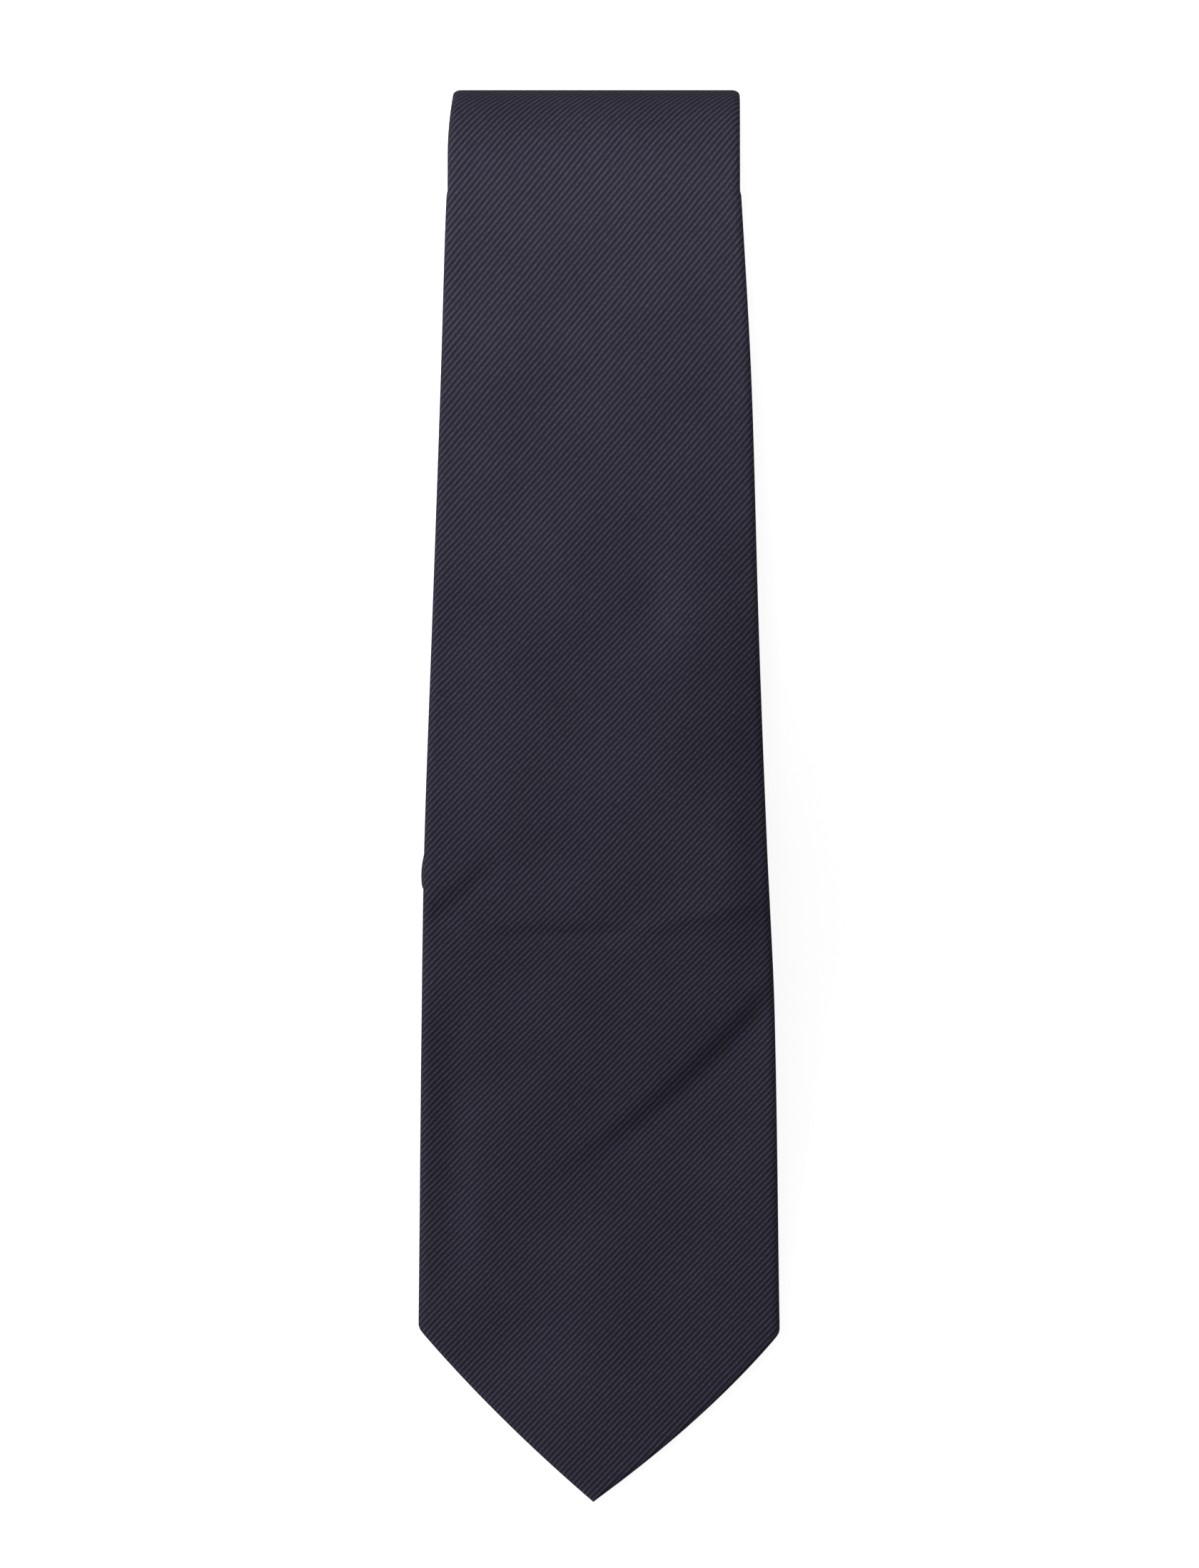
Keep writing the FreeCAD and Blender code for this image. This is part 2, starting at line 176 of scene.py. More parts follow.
def along_line(x, y, start, end):
    """Signed distance to the right of a line and the share along it."""
    dx, dy = end[0] - start[0], end[1] - start[1]
    size = math.hypot(dx, dy)
    share = ((x - start[0]) * dx + (y - start[1]) * dy) / size**2
    side = ((x - start[0]) * dy - (y - start[1]) * dx) / size
    return side, share


# --- the front blade's outline and the way it lies --------------------------------------
left_side = curve_through([(-118, -39.9), (-50, -39.05), (-12, -38.35), (38, -36.6),
                           (89, -34.8), (128, -33.6), (TOP_FOLD_Y, -33.2)])
right_side = curve_through([(-118, 39.9), (-50, 38.7), (-12, 36.9), (38, 35.0),
                            (89, 33.5), (128, 31.4), (TOP_FOLD_Y, 30.9)])
TIP_X = -1.3
TIP_BULGE_LEFT, TIP_BULGE_RIGHT = 1.5, 2.5
SHOULDER_ROUNDING = 0.3


def tip_edge(y, shoulder_x, shoulder_y, bulge):
    """Edge of the point from the tip to a shoulder, slightly bowed outwards."""
    t = np.clip((y - TIP_Y) / (shoulder_y - TIP_Y), 0.0, 3.0)
    bow = bulge * 4 * t * (1 - t) * math.copysign(1.0, shoulder_x)
    return TIP_X + (shoulder_x - TIP_X) * t + np.where(t < 1, bow, 0.0)


def front_left(y):
    side = left_side(y) - TIP_X
    point = tip_edge(y, -39.9, TIP_Y + SHOULDER_HEIGHT - 0.2, TIP_BULGE_LEFT) - TIP_X
    return TIP_X - soft_min(-side, -point, SHOULDER_ROUNDING)


def front_right(y):
    side = right_side(y) - TIP_X
    point = tip_edge(y, 39.9, TIP_Y + SHOULDER_HEIGHT - 1.3, TIP_BULGE_RIGHT) - TIP_X
    return TIP_X + soft_min(side, point, SHOULDER_ROUNDING)


free_fall = curve_through([(TIP_Y, Z_BLADE_BOTTOM), (-130, 1.25), (-116, 1.9), (-100, 4.0), (-80, 7.9),
                           (-62, 12.2), (-48, 16.2), (-37, 19.8), (-29, 22.6), (-21, 25.0),
                           (-12, 25.6), (0, Z_FRONT), (TOP_Y, Z_FRONT)])


def fold_shift(x):
    """How far the bundle's lower edge lies below its place on the left, across the tie."""
    return 0.075 * (np.minimum(x, 12.0) + 30.0) - 0.13 * np.maximum(x - 12.0, 0.0) - 1.3


def front_height(x, y):
    """Height of the middle of the front layer over the table."""
    near_fold = smooth(y, -75, -35) * (1 - smooth(y, -8, 20))
    z = free_fall(y + fold_shift(x) * near_fold)
    on_bundle = smooth(y, -24, 4) * (1 - smooth(y, 104, 126))
    # the sides settle beside the narrower tail
    z = z - SIDE_SETTLE * on_bundle * (smooth(np.abs(x + 1), 17, 36))
    # right edge droops where the skewed bundle leaves it unsupported
    droop = smooth(y, -46, -8) * (1 - smooth(y, 22, 62))
    z = z - RIGHT_DROOP * droop * smooth(x, 25, 38) ** 1.5
    # dip beside the corner of the lower fold, running up to the right
    side, share = along_line(x, y, (-37.0, -26.0), (-24.0, -14.5))
    strength = smooth(share, -0.3, 0.1) * (1 - smooth(share, 0.7, 1.3))
    z = z - CORNER_DIP * strength * smooth(side, -2.2, 2.2) * np.exp(-np.maximum(side, 0) / 5)
    # crisp line where the cloth breaks over the bundle's edge
    side, share = along_line(x, y, (-18.5, -29.9), (4.0, -29.9))
    strength = smooth(share, -0.4, 0.15) * (1 - smooth(share, 0.85, 1.3))
    z = z - BREAK_LINE_DEPTH * strength * np.exp(-(side / 1.4) ** 2)
    side, share = along_line(x, y, (4.0, -29.5), (35.0, -22.7))
    # where the line runs on to the right it turns into a low ridge
    strength = smooth(share, -0.1, 0.3) * (1 - smooth(share, 0.9, 1.2))
    z = z + BREAK_RIDGE_HEIGHT * strength * np.exp(-(side / 1.9) ** 2)
    # soft curved fold towards the right shoulder
    side, share = along_line(x, y, (-4.0, -79.5), (33.4, -46.8))
    side = side - 7.0 * share * (1 - share)
    strength = smooth(share, -0.25, 0.40) * (1 - smooth(share, 0.95, 1.25))
    z = z - SHOULDER_FOLD_DEPTH * strength * smooth(side, -3.0, 3.0) * np.exp(-np.maximum(side, 0) / 13)
    # shallow channel inside the left edge
    channel = smooth(y, -118, -95) * (1 - smooth(y, -52, -38))
    z = z - CHANNEL_DEPTH * channel * np.exp(-((x + 32.0) / 4.0) ** 2)
    # dents and slow waves of soft cloth
    z = z - DENT_DEPTH * np.exp(-((x - 11.7) / 5) ** 2 - ((y - 41.9) / 8) ** 2)
    calm = smooth(y, TIP_Y, -120) * (1 - smooth(y, 105, 132))
    ripple = (0.26 * np.sin(0.115 * y + 0.06 * x + 0.4) + 0.20 * np.sin(0.21 * x - 0.07 * y)
              + 0.09 * np.sin(0.31 * y - 0.17 * x + 1.1))
    # the point is a little fuller in its middle than along its edges
    crown = POINT_CROWN * np.exp(-((x - 3) / 18) ** 2 - ((y + 131) / 14) ** 2)
    return z + ripple * calm + crown


# --- routes of the folded tie in side view ----------------------------------------------
def straight(a, b):
    """Points from a up to, but not at, b."""
    count = max(2, round(math.dist(a, b) / STEP))
    return [(a[0] + (b[0] - a[0]) * i / count, a[1] + (b[1] - a[1]) * i / count)
            for i in range(count)]


def arc(y_c, z_c, radius, start, end):
    """Points on an arc; angles in degrees run from +Y towards +Z."""
    count = max(8, round(radius * math.radians(abs(end - start)) / 0.9))
    angles = [math.radians(start + (end - start) * i / count) for i in range(count)]
    return [(y_c + radius * math.cos(a), z_c + radius * math.sin(a)) for a in angles]


def top_fold(inset):
    """Soft quarter round over a tighter one."""
    soft = TOP_FOLD_RADIUS - LAYER / 2 - inset
    tight = TOP_TUCK_RADIUS - LAYER / 2 - inset
    z_c = HEIGHT - TOP_FOLD_RADIUS
    return arc(TOP_FOLD_Y, z_c, soft, 90, 0) + arc(TOP_TUCK_Y, z_c, tight, 0, -90)


def tip_stations(tip_y):
    """Stations that start close together at a point."""
    return [tip_y + d for d in (0.02, 0.25, 0.6, 1.0, 1.5, 2.2, 3.0)]


class Route:
    """A route in side view with its outward direction and distance along the tie."""

    def __init__(self, points, s_start):
        self.y, self.z = (np.array(c) for c in zip(*points))
        dy, dz = np.gradient(self.y), np.gradient(self.z)
        size = np.hypot(dy, dz)
        self.ny, self.nz = -dz / size, dy / size
        step = np.hypot(np.diff(self.y), np.diff(self.z))
        self.s = s_start + np.concatenate([[0.0], np.cumsum(step)])

    def changed(self, change):
        """A copy of the route with every one of its columns put through change."""
        other = object.__new__(Route)
        for name in ("y", "z", "ny", "nz", "s"):
            setattr(other, name, change(getattr(self, name)))
        return other

    def part(self, first, last):
        """The stations from first to last, both kept."""
        return self.changed(lambda column: column[first:last + 1])


def front_route():
    """The front layer from the wide tip over the top fold to the table."""
    start = tip_stations(TIP_Y)
    ys = start + list(np.arange(start[-1] + 0.8, TIP_Y + 44, 0.8))
    ys += list(np.arange(ys[-1] + 1.2, TOP_FOLD_Y - 0.6, 1.2))
    points = [(y, float(free_fall(y))) for y in ys]
    return Route(points + top_fold(0.0) + [(TOP_TUCK_Y, Z_BLADE_BOTTOM)], 0.0)


blade_front = front_route()
S_BOTTOM = blade_front.s[-1]
blade_wrap = Route(straight((TOP_TUCK_Y, Z_BLADE_BOTTOM), (LOWER_CENTRE_Y, Z_BLADE_BOTTOM))
                   + arc(LOWER_CENTRE_Y, (Z_BLADE_BOTTOM + Z_BLADE_INNER) / 2,
                         (Z_BLADE_INNER - Z_BLADE_BOTTOM) / 2, -90, -270)
                   + straight((LOWER_CENTRE_Y, Z_BLADE_INNER), (70.0, Z_BLADE_INNER))
                   + [(70.0, Z_BLADE_INNER)], S_BOTTOM)
neck = Route(straight((70.0, Z_BLADE_INNER), (INNER_FOLD_Y, Z_BLADE_INNER))
             + arc(INNER_FOLD_Y, (Z_NECK_LOW + Z_BLADE_INNER) / 2,
                   (Z_BLADE_INNER - Z_NECK_LOW) / 2, 90, -90)
             + straight((INNER_FOLD_Y, Z_NECK_LOW), (NECK_FOLD_Y, Z_NECK_LOW))
             + arc(NECK_FOLD_Y, (Z_NECK_LOW + Z_NECK_HIGH) / 2,
                   (Z_NECK_HIGH - Z_NECK_LOW) / 2, -90, -270)
             + straight((NECK_FOLD_Y, Z_NECK_HIGH), (INNER_FOLD_Y, Z_NECK_HIGH))
             + arc(INNER_FOLD_Y, (Z_NECK_HIGH + Z_TAIL_INNER) / 2,
                   (Z_TAIL_INNER - Z_NECK_HIGH) / 2, -90, 90)
             + straight((INNER_FOLD_Y, Z_TAIL_INNER), (60.0, Z_TAIL_INNER))
             + [(60.0, Z_TAIL_INNER)], blade_wrap.s[-1])
tail_wrap = Route(straight((60.0, Z_TAIL_INNER), (LOWER_CENTRE_Y, Z_TAIL_INNER))
                  + arc(LOWER_CENTRE_Y, (Z_TAIL_BOTTOM + Z_TAIL_INNER) / 2,
                        (Z_TAIL_INNER - Z_TAIL_BOTTOM) / 2, 90, 270)
                  + straight((LOWER_CENTRE_Y, Z_TAIL_BOTTOM), (TOP_TUCK_Y, Z_TAIL_BOTTOM))
                  + [(TOP_TUCK_Y, Z_TAIL_BOTTOM)], neck.s[-1])
tail_points = (top_fold(Z_FRONT - Z_TAIL_END) + [(TOP_TUCK_Y, Z_TAIL_BOTTOM)])[::-1]
tail_points += straight((TOP_FOLD_Y - STEP, Z_TAIL_END), (TAIL_TIP_Y + 4.0, Z_TAIL_END))
tail_points += [(y, Z_TAIL_END) for y in reversed(tip_stations(TAIL_TIP_Y))]
tail_end = Route(tail_points, tail_wrap.s[-1])

width_at = curve_through([(38, 79.8), (168, 73.2), (330, 63.4), (500, 51.5), (690, 38.5),
                          (830, 34.0), (1000, 34.0), (1461, 38.0), (1490, 38.2)])

# middle line of the inner turns across the bundle
X_TOP, X_LOWER, X_INNER, X_NECK = -1.0, -12.2, -4.0, -11.5
LOWER_FOLD_FLARE = 1.3      # how far the lower fold spreads past its left edge


def slant(y, x_high, x_low, y_high=INNER_FOLD_Y, y_low=LOWER_CENTRE_Y):
    """Middle line of a stretch that runs at a slant between two folds."""
    return x_low + (x_high - x_low) * np.clip((y - y_low) / (y_high - y_low), 0, 1)


# --- meshes -----------------------------------------------------------------------------
RIB_PITCH = 1.38            # spacing of the ribs measured straight across the tie


def rib_count(u, s):
    """Ribs counted across the cloth; they steepen a little towards the top fold."""
    flat, steep = 1 / math.tan(math.radians(46.6)), 1 / math.tan(math.radians(50.6))
    t = np.clip((s - 190.0) / 70.0, 0.0, 1.0)
    run = np.where(s < 260.0, 70.0 * (t**3 - t**4 / 2), 35.0 + (s - 260.0))
    return (s * flat + run * (steep - flat) - u) / RIB_PITCH


def cloth_mesh(name, points, uvs, faces, material):
    """Smooth mesh of cloth from points in millimetres, with its places on the cloth."""
    mesh = bpy.data.meshes.new(name)
    mesh.from_pydata((points * MM).tolist(), [], faces)
    layer = mesh.uv_layers.new(name="cloth")
    loops = np.zeros(len(mesh.loops), int)
    mesh.loops.foreach_get("vertex_index", loops)
    layer.data.foreach_set("uv", uvs[loops].ravel())
    mesh.polygons.foreach_set("use_smooth", [True] * len(faces))
    mesh.update()
    obj = bpy.data.objects.new(name, mesh)
    bpy.context.scene.collection.objects.link(obj)
    mesh.materials.append(material)
    return obj


def skin_faces(rows, width, first=0, flip=False):
    """Faces between rings of points, one ring per row."""
    faces = []
    for i in range(rows - 1):
        for j in range(width):
            a, b = first + i * width, first + (i + 1) * width
            k = (j + 1) % width
            face = (a + j, a + k, b + k, b + j)
            faces.append(face[::-1] if flip else face)
    return faces


def cap_faces(first, width, across, flip):
    """Faces that close a ring: its upper half has one point more at each end."""
    faces = [(first, first + 1, first + width - 1)]
    for j in range(1, across - 2):
        faces.append((first + j, first + j + 1, first + width - j - 1, first + width - j))
    faces.append((first + across - 2, first + across - 1, first + across))
    return [f[::-1] for f in faces] if flip else faces


def rim_faces(outer, inner, width, flip):
    """Faces between an outer ring and an inner one."""
    faces = []
    for j in range(width):
        k = (j + 1) % width
        face = (outer + j, outer + k, inner + k, inner + j)
        faces.append(face[::-1] if flip else face)
    return faces


def section(left, right, thick, seam, open_to, columns):
    """One cross-section: places across, heights from the middle, and unfolded places.

    The ring runs over the face from left to right and back underneath.  seam is the
    height of the turned edge at the back's centre seam.  open_to is the half-width of
    the opening between the back flaps, where the lining shows.
    """
    room = min(1.0, (right - left) / 2 / (EDGE_STEPS[-1] + 0.4))
    steps = EDGE_STEPS * room
    face = np.linspace(left + steps[-1], right - steps[-1], columns)
    face = np.concatenate([left + steps[:-1], face, right - steps[:-1][::-1]])
    depth = np.clip(np.minimum(face - left, right - face) / (EDGE_ROUND * room), 0, 1)
    full = np.sqrt(1 - (1 - depth) ** 2)
    back, back_full = face[-2:0:-1], full[-2:0:-1]
    middle = (left + right) / 2
    # the last flap laps over the first one, with a crisp turned edge at the seam
    from_seam = middle + 1.0 - back
    lap = np.clip(from_seam / 0.5 + 0.5, 0, 1) * np.exp(-np.maximum(from_seam, 0) / 9.0) * seam
    inside = np.clip((open_to - np.abs(back - middle)) / HEM_RAMP + 0.5, 0, 1)
    under = (thick / 2 + lap) * (1 - inside) + (thick / 2 - SILK_BITE) * inside
    x = np.concatenate([face, back])
    z = np.concatenate([thick / 2 * full, -under * back_full])
    # unfolded place: runs on round both edges
    step = np.hypot(np.diff(x), np.diff(z))
    return x, z, left + np.concatenate([[0.0], np.cumsum(step)])


def hold_ends(route, left, right):
    """Adds a station just inside each end, so that the cut ends don't shade the faces."""
    s = np.insert(route.s, [1, len(route.s) - 1], [route.s[0] + END_HOLD, route.s[-1] - END_HOLD])
    held = route.changed(lambda column: np.interp(s, route.s, column))
    return held, np.interp(s, route.s, left), np.interp(s, route.s, right)


def tube(name, route, left, right, material, thick=LAYER, seam=SILK_BITE, lift=None,
         open_to=None, columns=ACROSS_INSIDE, wall=None):
    """Flattened tube of cloth along a route; left and right are arrays of its edges.

    With a wall it is hollow and open at both ends; without one it is solid.
    """
    route, left, right = hold_ends(route, left, right)
    outer, inner, uvs = [], [], []
    for i in range(len(route.y)):
        opening = -5.0 if open_to is None else float(open_to(route.y[i]))
        x, off, u = section(left[i], right[i], thick, seam, opening, columns)
        middle, half = (left[i] + right[i]) / 2, (right[i] - left[i]) / 2
        shells = [(outer, x, off)]
        if wall is not None:
            shrink = max(half - wall, 0.6 * half) / half
            shells.append((inner, middle + (x - middle) * shrink, off * (1 - 2 * wall / thick)))
        for shell, px, pz in shells:
            y = route.y[i] + route.ny[i] * pz
            z = route.z[i] + route.nz[i] * pz
            if lift is not None:
                z = z + lift(px, np.full(len(px), route.y[i]), route.z[i])
            shell.append(np.stack([px, y, z], 1))
        uvs.append(np.stack([rib_count(u, route.s[i]), u * 0.69 + route.s[i] * 0.72], 1))
    rows, width = len(outer), len(outer[0])
    last = (rows - 1) * width
    skin = skin_faces(rows, width)
    if wall is None:
        across = width // 2 + 1
        ends = cap_faces(0, width, across, True) + cap_faces(last, width, across, False)
    else:
        total = rows * width
        skin += skin_faces(rows, width, total, True)
        ends = rim_faces(0, total, width, True) + rim_faces(last, total + last, width, False)
    points, places = np.concatenate(outer + inner), np.concatenate(uvs * (2 if inner else 1))
    return cloth_mesh(name, points, places, skin + ends, material)


def grid_mesh(name, rows, uvs, material):
    """Closed thin sheet from rows of rings; a ring's second half runs back below its first."""
    count, width = len(rows), len(rows[0])
    half = width // 2
    skin, ends = skin_faces(count, width), []
    for first, flip in ((0, True), ((count - 1) * width, False)):
        for j in range(half - 1):
            face = (first + j, first + j + 1, first + width - 2 - j, first + width - 1 - j)
            ends.append(face[::-1] if flip else face)
    return cloth_mesh(name, np.concatenate(rows), np.concatenate(uvs), skin + ends, material)


def front_lift(x, y, z_route):
    """Moves a front-layer point from its route to where the cloth lies."""
    fade = 1 - smooth(y, TOP_FOLD_Y - 8, TOP_FOLD_Y)
    return (front_height(x, y) - z_route) * fade


# --- materials --------------------------------------------------------------------------
def node_material(name, roughness, specular, sheen=0.0):
    """A principled material with its even values set on the shader itself."""
    material = bpy.data.materials.new(name)
    material.use_nodes = True
    shader = material.node_tree.nodes["Principled BSDF"]
    shader.inputs["Roughness"].default_value = roughness
    shader.inputs["Specular IOR Level"].default_value = specular
    shader.inputs["Sheen Weight"].default_value = sheen
    shader.inputs["Sheen Roughness"].default_value = 0.4
    return material, material.node_tree, shader


def math_node(tree, operation, a, b=None, c=None):
    """A math node; each input is a socket or a number."""
    node = tree.nodes.new("ShaderNodeMath")
    node.operation = operation
    for socket, value in zip(node.inputs, (a, b, c)):
        if value is None:
            continue
        if isinstance(value, (int, float)):
            socket.default_value = value
        else:
            tree.links.new(value, socket)
    return node.outputs[0]


def noise(tree, vector, scale, detail=2.0):
    """Even noise from 0 to 1, about a half."""
    node = tree.nodes.new("ShaderNodeTexNoise")
    node.inputs["Scale"].default_value = scale
    node.inputs["Detail"].default_value = detail
    if vector is not None:
        tree.links.new(vector, node.inputs["Vector"])
    return node.outputs["Fac"]


def ramp(tree, factor, stops):
    """Colour ramp through (place, colour) stops."""
    node = tree.nodes.new("ShaderNodeValToRGB")
    elements = node.color_ramp.elements
    elements[0].position, elements[0].color = stops[0][0], (*stops[0][1], 1)
    elements[1].position, elements[1].color = stops[-1][0], (*stops[-1][1], 1)
    for place, colour in stops[1:-1]:
        element = elements.new(place)
        element.color = (*colour, 1)
    tree.links.new(factor, node.inputs["Fac"])
    return node.outputs["Color"]


def bump(tree, shader, height, distance, strength=1.0):
    """Bump from a height from 0 to 1; distance is in metres."""
    node = tree.nodes.new("ShaderNodeBump")
    node.inputs["Distance"].default_value = distance
    node.inputs["Strength"].default_value = strength
    tree.links.new(height, node.inputs["Height"])
    tree.links.new(node.outputs["Normal"], shader.inputs["Normal"])


def wave(tree, phase):
    """Cosine from 0 to 1 of a phase counted in whole turns."""
    turned = math_node(tree, "MULTIPLY", phase, 2 * math.pi)
    return math_node(tree, "MULTIPLY_ADD", math_node(tree, "COSINE", turned), 0.5, 0.5)


def cloth_places(tree):
    """Rib count and distance along the ribs, and their vector."""
    place = tree.nodes.new("ShaderNodeUVMap")
    place.uv_map = "cloth"
    parts = tree.nodes.new("ShaderNodeSeparateXYZ")
    tree.links.new(place.outputs["UV"], parts.inputs[0])
    return parts.outputs["X"], parts.outputs["Y"], place.outputs["UV"]


# the darkest silk tone is painted shade in the gaps between the ribs
GAP_SHADE_COLOUR = (0.0130, 0.0120, 0.0200)
SILK_COLOUR = (0.0223, 0.0205, 0.0340)
# the rib and yarn tones are painted highlights on the rib crests
RIB_LIT_COLOUR = (0.0370, 0.0345, 0.0515)
YARN_HIGHLIGHT = (0.0760, 0.0730, 0.0960)


def repp_silk():
    """Navy silk woven with raised diagonal ribs, each crossed by fine weft yarns; its colour holds
    painted shade in the gaps between ribs and painted highlights on their crests.
    """
    material, tree, shader = node_material("repp_silk_navy", 0.55, 0.02)
    ribs, along, place = cloth_places(tree)
    slow = noise(tree, place, 0.11, 1.0)
    uneven = noise(tree, place, 1.6, 2.0)
    ribs = math_node(tree, "MULTIPLY_ADD", slow, 0.35, ribs)
    ribs = math_node(tree, "MULTIPLY_ADD", uneven, 0.16, ribs)
    rib = wave(tree, ribs)
    # painted highlight: the crests of the ribs are lightened
    lit_crest = math_node(tree, "POWER", rib, 2.0)
    # painted shade: the gaps between the ribs are darkened
    gap = math_node(tree, "POWER", math_node(tree, "SUBTRACT", 1.0, rib), 2.5)
    # weft yarns cross the ribs squarely, a third of a millimetre apart
    crossed = math_node(tree, "MULTIPLY_ADD", ribs, 0.12, math_node(tree, "MULTIPLY", along, 2.9))
    yarn = wave(tree, math_node(tree, "MULTIPLY_ADD", uneven, 0.6, crossed))
    lively = math_node(tree, "MULTIPLY_ADD", noise(tree, place, 2.2, 1.0), 1.9, -0.45)
    # painted highlights: broken bright dashes along the crests where the weft yarns cross
    highlight_dash = math_node(tree, "MULTIPLY", yarn, lively)
    # painted shade: darker tone in the gaps between the ribs
    tone = math_node(tree, "MULTIPLY_ADD", gap, -0.30, 0.34)
    # painted highlights laid onto the crests
    shine = math_node(tree, "MULTIPLY_ADD", highlight_dash, 0.75, 0.12)
    tone = math_node(tree, "MULTIPLY_ADD", lit_crest, shine, tone)
    patch = noise(tree, place, 0.045, 3.0)
    tone = math_node(tree, "MULTIPLY_ADD", patch, 0.16, math_node(tree, "SUBTRACT", tone, 0.08))
    colour = ramp(tree, tone, [(0.03, GAP_SHADE_COLOUR), (0.33, SILK_COLOUR), (0.60, RIB_LIT_COLOUR),
                               (1.0, YARN_HIGHLIGHT)])
    tree.links.new(colour, shader.inputs["Base Color"])
    crown = math_node(tree, "POWER", rib, 0.75)
    height = math_node(tree, "MULTIPLY_ADD", math_node(tree, "MULTIPLY", yarn, crown), 0.25, crown)
    bump(tree, shader, height, 0.00016, 0.6)
    return material


def satin_lining():
    """Smooth satin: very fine lengthways floats with a soft lustre."""
    material, tree, shader = node_material("satin_lining_navy", 0.34, 0.5)
    ribs, _, place = cloth_places(tree)
    floats = wave(tree, math_node(tree, "MULTIPLY", ribs, 5.0))
    patch = noise(tree, place, 0.4, 3.0)
    tone = math_node(tree, "MULTIPLY_ADD", patch, 0.5, math_node(tree, "MULTIPLY", floats, 0.4))
    colour = ramp(tree, tone, [(0.1, (0.008, 0.008, 0.016)), (0.9, (0.022, 0.021, 0.038))])
    tree.links.new(colour, shader.inputs["Base Color"])
    bump(tree, shader, floats, 0.00004, 0.6)
    return material


def wool_interlining():
    """Brushed off-white wool with a loose plain weave."""
    material, tree, shader = node_material("wool_interlining", 0.9, 0.2, 0.3)
    ribs, along, place = cloth_places(tree)
    weave = math_node(tree, "MULTIPLY", wave(tree, math_node(tree, "MULTIPLY", ribs, 1.2)),
                      wave(tree, math_node(tree, "MULTIPLY", along, 1.1)))
    fuzz = noise(tree, place, 2.5, 4.0)
    tone = math_node(tree, "MULTIPLY_ADD", fuzz, 0.6, math_node(tree, "MULTIPLY", weave, 0.4))
    colour = ramp(tree, tone, [(0.2, (0.42, 0.39, 0.33)), (0.8, (0.70, 0.67, 0.60))])
    tree.links.new(colour, shader.inputs["Base Color"])
    bump(tree, shader, tone, 0.0003, 0.7)
    return material


def woven_label():
    """Plain dense label weave with fine cross threads and no lettering."""
    material, tree, shader = node_material("label_weave", 0.6, 0.35)
    ribs, along, place = cloth_places(tree)
    warp = wave(tree, math_node(tree, "MULTIPLY", ribs, 3.0))
    weft = wave(tree, math_node(tree, "MULTIPLY", along, 4.0))
    tone = math_node(tree, "MULTIPLY_ADD", warp, 0.4,
                     math_node(tree, "MULTIPLY_ADD", weft, 0.3, math_node(
                         tree, "MULTIPLY", noise(tree, place, 1.2, 2.0), 0.3)))
    colour = ramp(tree, tone, [(0.2, (0.022, 0.022, 0.034)), (0.8, (0.060, 0.060, 0.082))])
    tree.links.new(colour, shader.inputs["Base Color"])
    bump(tree, shader, tone, 0.00008, 0.8)
    return material


def silk_thread():
    """Twisted sewing thread."""
    material, tree, shader = node_material("silk_thread_navy", 0.42, 0.45)
    coords = tree.nodes.new("ShaderNodeTexCoord")
    fibres = noise(tree, coords.outputs["Object"], 2600.0, 2.0)
    colour = ramp(tree, fibres, [(0.3, (0.010, 0.010, 0.020)), (0.75, (0.040, 0.038, 0.060))])
    tree.links.new(colour, shader.inputs["Base Color"])
    bump(tree, shader, fibres, 0.00006, 0.8)
    return material


SILK = repp_silk()
SATIN = satin_lining()
WOOL = wool_interlining()
LABEL = woven_label()
THREAD = silk_thread()


# --- the folded tie ---------------------------------------------------------------------
def place(obj, slot, nodes, body=None, bend=None):
    """Hides the CAD nodes that a piece stands for, then fastens the piece to its body, or bakes its
    place into its mesh when it has a bend.

    slot is not used.
    """
    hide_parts(*nodes)
    if bend is None:
        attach(obj, body)
    else:
        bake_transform(obj)
    return obj


END_BEND = ("front_blade", "blade_end", (0, (END_HINGE[1] + 16) * MM, HEIGHT * MM),
            (0, (END_HINGE[1] - 14) * MM, HEIGHT * MM))
LIFT_BEND = ("front_blade", "bundle", (0, (FRONT_HINGE[1] - 24) * MM, HEIGHT * MM),
             (0, (FRONT_HINGE[1] + 5) * MM, HEIGHT * MM))
INSET = 0.9                 # how far the interlining stays inside the silk
CORE = LAYER - 1.2          # thickness of the interlining
LEFT_DRAW_IN, RIGHT_DRAW_IN = 1.0, -0.1     # the blade's edges over the top fold


def opening_half_width(y):
    """Half-width of the gap between the back flaps, where the lining shows."""
    flaps = np.interp(y, [TIP_Y + 11, -117, -108, TACK_Y], [0.0, 29.5, 28.0, -1.0])
    return flaps if TIP_Y + 11 < y < TACK_Y else -5.0


def layer_pair(name, route, left, right, nodes, lift=None, open_to=None,
               columns=ACROSS_INSIDE, seam=0.25, core_skip=(0, 0), core_room=INSET,
               body=None, bend=None):
    """Silk tube of a stretch and the interlining inside it; core_skip leaves stations out."""
    silk = tube(name, route, left, right, SILK, seam=seam, lift=lift, open_to=open_to,
                columns=columns, wall=SILK_WALL)
    place(silk, "silk", [nodes[0]], body=body, bend=bend)
    first, last = core_skip[0], len(route.y) - 1 - core_skip[1]
    inner = route.part(first, last)
    inner_left, inner_right = left[first:last + 1] + core_room, right[first:last + 1] - core_room
    core = tube(name + "_interlining", inner, inner_left, inner_right, WOOL, thick=CORE,
                seam=0.0, lift=lift, columns=CORE_COLUMNS)
    place(core, "interlining", [nodes[1]], body=body, bend=bend)


